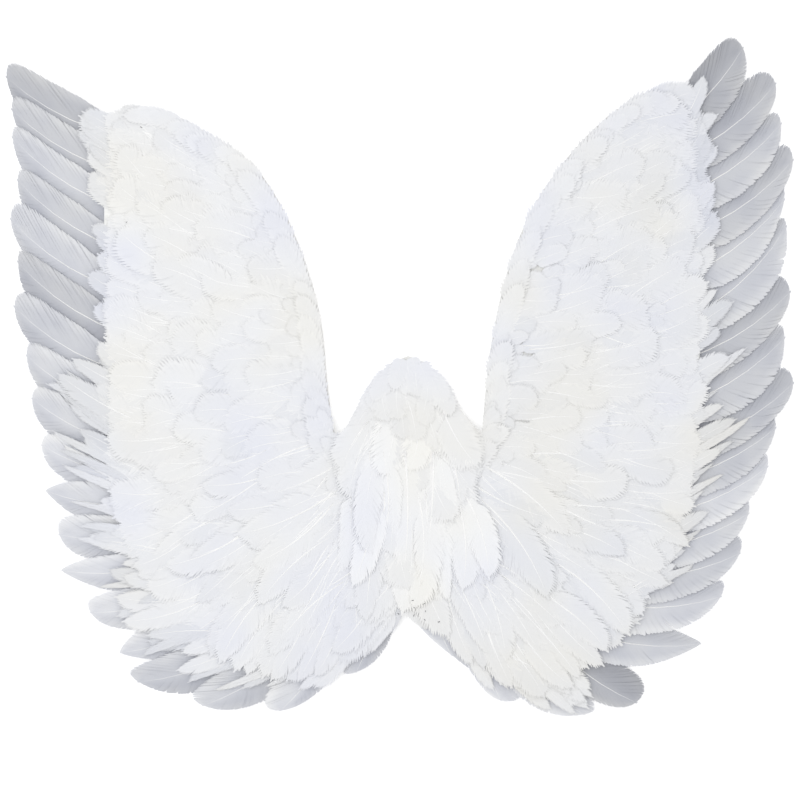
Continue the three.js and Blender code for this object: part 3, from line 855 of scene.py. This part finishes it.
# The same over the first flight feathers of each wing, with draws of their own.
CROWN_WISPS = {
    "left": (-0.75, 0.9, 7, "covert", (0.12, 0.36), (0.2, 0.5)),
    "right": (-0.7, 0.7, 5, "covert", (0.08, 0.22), (0.2, 0.5)),
}
crown_rng = np.random.default_rng(SEED + 1)
# The least and the most tone of each wing's coverts: tones differ at random, and the right wing's
# lower range is painted shade.
FIELD_TONES_AND_SHADE = {"left": (0.42, 0.9), "right": (0.38, 0.7)}
# The strips of each row of coverts: share, spacing and length in millimetres, and layers below.
WING_STRIPS = [
    [(-0.04, 13, 60, 0), (0.07, 15, 62, 1)],
    [(0.18, 15, 64, 2), (0.29, 15, 64, 2.7)],
    [(0.4, 15, 60, 2.7), (0.51, 15, 56, 2.7)],
    [(0.62, 16, 50, 2.5), (0.73, 16, 44, 2.3), (0.83, 15, 38, 2)],
]
for side, rows in (("left", LEFT_WING), ("right", RIGHT_WING)):
    for row, strips in enumerate(WING_STRIPS):
        groups = []
        for number, (share, spacing, length, layers) in enumerate(strips):
            skirt = SKIRTS[side] if share < 0 else 0
            groups.append(strip(rows, share, spacing * MM, length * MM, layers, wing_seat, rng, skirt=skirt,
                                ragged=(1 if side == "left" and share < 0 else 7) * MM,
                                offset=0.25 + 0.5 * (number % 2), plume=1 if row < 3 else 0.4,
                                tones=FIELD_TONES_AND_SHADE[side]))
        if row == 0:
            groups.extend(wisps(rows, *span, rng) for span in WISPS[side])
            groups.append(wisps(rows, *CROWN_WISPS[side], crown_rng))
        if row == 3:
            groups.append(margin(rows, 13 * MM, 34 * MM, wing_seat, rng))
            groups.append(margin(rows, 5 * MM, 20 * MM, wing_seat, rng, first=9, last=12))
        piece = laid(f"{side}_coverts_{row + 1}", gathered(groups), FEATHERS, COVERT, tilt=0.7)
        fitted(piece, f"{side}_covert_row_{row + 1}")


# Small feathers over the card's corners beside the yoke: place as shares, way in degrees and length.
CORNERS = table("x y way length", [
    [-0.172, -0.21, 98, 17], [-0.158, -0.214, 88, 17], [-0.146, -0.206, 68, 17], [-0.15, -0.26, 250, 30],
    [0.212, -0.2, 80, 17], [0.2, -0.206, 94, 17], [0.185, -0.195, 114, 17],
])


def corner_roots(rng):
    """Roots of the small feathers over the card's corners."""
    plan = MIDDLE + np.stack([CORNERS["x"], CORNERS["y"]], -1) * HALF
    size = CORNERS["length"] * MM
    return {
        "at": np.column_stack([plan, SEAT + rng.uniform(1.8, 2.4, len(size)) * MM]),
        "aim": unit(np.column_stack([turned(CORNERS["way"]), rng.uniform(-0.02, 0.02, len(size))])),
        "up": np.tile(UP, (len(size), 1)),
        "size": np.repeat(size[:, None], 3, axis=1),
        "kind": rng.integers(*FEATHER_KINDS["margin"], len(size)),
        "tone": rng.uniform(0.5, 0.9, len(size)),
    }


YOKE_STRIPS = [
    [(0, 13, 64, 0.5), (0.1, 13, 62, 1.5), (0.2, 13, 60, 2)],
    [(0.31, 12, 56, 2), (0.42, 12, 54, 2), (0.53, 12, 50, 2)],
    [(0.63, 11, 48, 2), (0.73, 11, 44, 2), (0.82, 10, 38, 2), (0.9, 9, 30, 1.5)],
]
for row, strips in enumerate(YOKE_STRIPS):
    groups = [strip(YOKE, share, spacing * MM, length * MM, layers, yoke_seat, rng,
                    offset=0.25 + 0.5 * (number % 2))
              for number, (share, spacing, length, layers) in enumerate(strips)]
    if row == 2:
        groups += [margin(YOKE, 10 * MM, 30 * MM, yoke_seat, rng), corner_roots(rng)]
    piece = laid(f"yoke_coverts_{row + 1}", gathered(groups), FEATHERS, COVERT, tilt=0.7)
    fitted(piece, f"yoke_covert_row_{row + 1}")


# The centre tuft.


def tuft_roots(count, starts, ends, length, lift):
    """Roots of plumes from the yoke down to the notch, between two lines of plan points."""
    across = (np.arange(count) + rng.uniform(0.2, 0.8, count)) / count
    at = np.stack([np.interp(across, (0, 0.5, 1), axis) for axis in np.array(starts).T], -1)
    end = np.stack([np.interp(across, (0, 0.5, 1), axis) for axis in np.array(ends).T], -1)
    run = end - at
    size = np.linalg.norm(run, axis=1) * rng.uniform(*length, count)
    run = unit(run + rng.normal(0, 0.07, run.shape) * np.linalg.norm(run, axis=1)[:, None])
    return {
        "at": np.column_stack([MIDDLE + at * HALF, lift * MM + rng.uniform(0, 1, count) * MM]),
        "aim": unit(np.column_stack([run * HALF / HALF.mean(), rng.normal(-0.005, 0.01, count)])),
        "up": unit(np.column_stack([rng.normal(0, 0.05, (count, 2)), np.ones(count)])),
        "size": np.repeat((size * HALF.mean())[:, None], 3, axis=1),
        "kind": rng.integers(FEATHER_KINDS["plume"][0], FEATHER_KINDS["lock"][1], count),
        "tone": rng.uniform(0.5, 1, count),
    }


# How high the tuft's roots lie, in millimetres.
TUFT_SEAT = OVER_WINGS / MM + 0.5
tuft = gathered([
    tuft_roots(16, [(-0.13, -0.34), (0.03, -0.34), (0.19, -0.34)],
               [(-0.17, -0.58), (0.03, -0.69), (0.23, -0.6)], (0.85, 1.05), TUFT_SEAT),
    tuft_roots(11, [(-0.09, -0.22), (0.03, -0.22), (0.16, -0.22)],
               [(-0.12, -0.48), (0.03, -0.58), (0.19, -0.5)], (0.8, 1.05), TUFT_SEAT + 0.4),
    strip(YOKE, 0.5, 13 * MM, 56 * MM, 2.6, yoke_seat, rng),
])
piece = laid("tuft_plumes", tuft, FEATHERS, DOWN, tilt=1.5)
fitted(piece, "centre_tuft")


# Elastics, card and stitches.


RIB_DEPTH = 0.28 * MM
# How far an elastic's glued ends lie under the card.
STRAP_GAP = 0.3 * MM


def strap(name, side, node_name):
    """A ribbed elastic on the CAD elastic's path."""
    stations, ribs = 97, 6
    t = np.linspace(0, 1, stations)
    plan = MIDDLE + HALF * BACK_MIDDLE + np.stack([
        side * (STRAP_INSET + STRAP_BULGE * np.sin(np.pi * t)), -STRAP_SPREAD * (t - 0.5)], -1)
    run = unit(np.gradient(plan, axis=0))
    walked = np.concatenate([[0], np.cumsum(np.linalg.norm(np.diff(plan, axis=0), axis=1))])
    left = np.clip(1 - np.minimum(walked, walked[-1] - walked) / STRAP_DROP, 0, 1)
    low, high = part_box(node_name)
    anchor = CARD_BOTTOM - STRAP_GAP - STRAP_THICKNESS
    bottom = low[2] + (anchor - low[2]) * left ** 2 * (3 - 2 * left)
    across = np.linspace(-0.5, 0.5, ribs * 4 + 1)
    ridge = RIB_DEPTH / 2 * (np.cos(across * ribs * 2 * np.pi + ribs * np.pi) - 1)
    section = [*zip(across, STRAP_THICKNESS + ridge, across), *zip(across[::-1], -ridge[::-1], across[::-1])]
    points, uvs = [], []
    for (x, y), (dx, dy), z, length in zip(plan, run, bottom, walked):
        for offset, height, u in section:
            points.append((x - dy * offset * STRAP_WIDTH, y + dx * offset * STRAP_WIDTH, z + height))
            uvs.append((length / STRAP_WIDTH, u + 0.5))
    faces = ring_faces(stations, len(section))
    if side > 0:
        faces = [face[::-1] for face in faces]
    mesh = bpy.data.meshes.new(name)
    mesh.from_pydata(points, [], faces)
    layer = mesh.uv_layers.new(name="fibre")
    layer.data.foreach_set("uv", np.array([uvs[loop.vertex_index] for loop in mesh.loops]).ravel())
    mesh.materials.append(ELASTIC)
    mesh.shade_smooth()
    obj = bpy.data.objects.new(name, mesh)
    bpy.context.scene.collection.objects.link(obj)
    fitted(obj, node_name)


strap("left_elastic_web", -1, "left_shoulder_elastic")
strap("right_elastic_web", 1, "right_shoulder_elastic")


def thread_finish():
    """Dark sewing thread, twisted."""
    made, tree, principled = finish_tree("sewing_thread", Roughness=0.7, Specular_IOR_Level=0.3)
    place = node(tree, "ShaderNodeTexCoord").outputs["Object"]
    twist = node(tree, "ShaderNodeTexWave", {"wave_type": "BANDS", "bands_direction": "DIAGONAL"},
                 Vector=place, Scale=900.0)
    tree.links.new(ramp(tree, twist.outputs["Fac"], [(0.2, (0.1, 0.1, 0.11)), (0.8, (0.2, 0.2, 0.21))]),
                   principled.inputs["Base Color"])
    return made


def stitch(name):
    """One stitch, one long: thread that rises out of the feathers and dips back in."""
    rings, sides, radius, rise = 9, 6, 0.18, 0.3
    t = np.linspace(0, np.pi, rings)
    angles = np.arange(sides) * 2 * np.pi / sides
    points = np.stack([
        np.repeat(-0.5 * np.cos(t), sides) - np.outer(radius * np.cos(t), np.cos(angles)).ravel(),
        np.tile(radius * np.sin(angles), rings),
        np.repeat(rise * np.sin(t), sides) + np.outer(radius * np.sin(t), np.cos(angles)).ravel(),
    ], -1)
    mesh = bpy.data.meshes.new(name)
    mesh.from_pydata(points.tolist(), [], [face[::-1] for face in ring_faces(rings, sides)])
    return bpy.data.objects.new(name, mesh)


# Stitches that hold the tuft at the notch, and two through the left wing, as shares like the tables.
STITCHES = np.array([
    [0.032, -0.662], [0.036, -0.684], [0.06, -0.672], [0.064, -0.695], [0.035, -0.708], [0.062, -0.72],
    [-0.004, -0.703], [0.098, -0.726], [-0.651, 0.743], [-0.688, 0.461],
])


def stitch_roots(rng):
    """Roots of the stitches, on top of the feathers that they go through."""
    bpy.context.view_layer.update()
    graph = bpy.context.evaluated_depsgraph_get()
    at = []
    above = 200 * MM
    for x, y in MIDDLE + STITCHES * HALF:
        hit, place, *_ = bpy.context.scene.ray_cast(graph, (x, y, above), (0, 0, -1))
        if hit:
            at.append(place)
    count = len(at)
    return {
        "at": np.array(at),
        "aim": np.column_stack([turned(rng.uniform(0, 180, count)), np.zeros(count)]),
        "up": np.tile(UP, (count, 1)),
        "size": np.repeat(rng.uniform(1.3, 1.9, count)[:, None] * MM, 3, axis=1),
        "kind": np.zeros(count),
    }


STITCH = collection_of("stitch", [stitch("stitch")])
stitches = laid("tuft_stitches", stitch_roots(rng), STITCH, thread_finish())
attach(stitches, "root")

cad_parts["backing_card"].data.materials.clear()
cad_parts["backing_card"].data.materials.append(CARD)


# Floor, light and camera.


def floor_finish():
    made, tree, principled = finish_tree("white_floor", Roughness=0.9, Specular_IOR_Level=0.0)
    principled.inputs["Base Color"].default_value = (0.97, 0.97, 0.97, 1)
    principled.inputs["Emission Color"].default_value = (1, 1, 1, 1)
    principled.inputs["Emission Strength"].default_value = 0.25
    return made


bpy.ops.mesh.primitive_plane_add(size=30)
floor = bpy.context.object
floor.name = "floor"
floor.data.materials.append(floor_finish())

world = bpy.data.worlds.new("studio")
bpy.context.scene.world = world
world.use_nodes = True
world.node_tree.nodes["Background"].inputs["Color"].default_value = (1, 1, 1, 1)
world.node_tree.nodes["Background"].inputs["Strength"].default_value = 0.84


def area_light(name, place, aim, size, power):
    data = bpy.data.lights.new(name, "AREA")
    data.shape = "DISK"
    data.size = size
    data.energy = power
    obj = bpy.data.objects.new(name, data)
    obj.location = place
    obj.rotation_mode = "QUATERNION"
    obj.rotation_quaternion = (Vector(aim) - Vector(place)).to_track_quat("-Z", "Y")
    bpy.context.scene.collection.objects.link(obj)


area_light("key", (-0.6, 0.2, 2.0), (0, 0, 0), 1.6, 11)

# The photo's field of view, its middle past the tables' middle, and the lens and sensor in millimetres.
PHOTO_FIELD = 800 * MM
PHOTO_CENTRE = (0, -22.5 * MM)
LENS = 85
SENSOR = 36
camera_data = bpy.data.cameras.new("camera")
camera_data.lens = LENS
camera_data.sensor_width = SENSOR
camera = bpy.data.objects.new("camera", camera_data)
distance = PHOTO_FIELD * LENS / SENSOR
camera.location = (MIDDLE[0] + PHOTO_CENTRE[0], MIDDLE[1] + PHOTO_CENTRE[1], distance)
bpy.context.scene.collection.objects.link(camera)
bpy.context.scene.camera = camera
bpy.context.scene.view_settings.view_transform = "Standard"
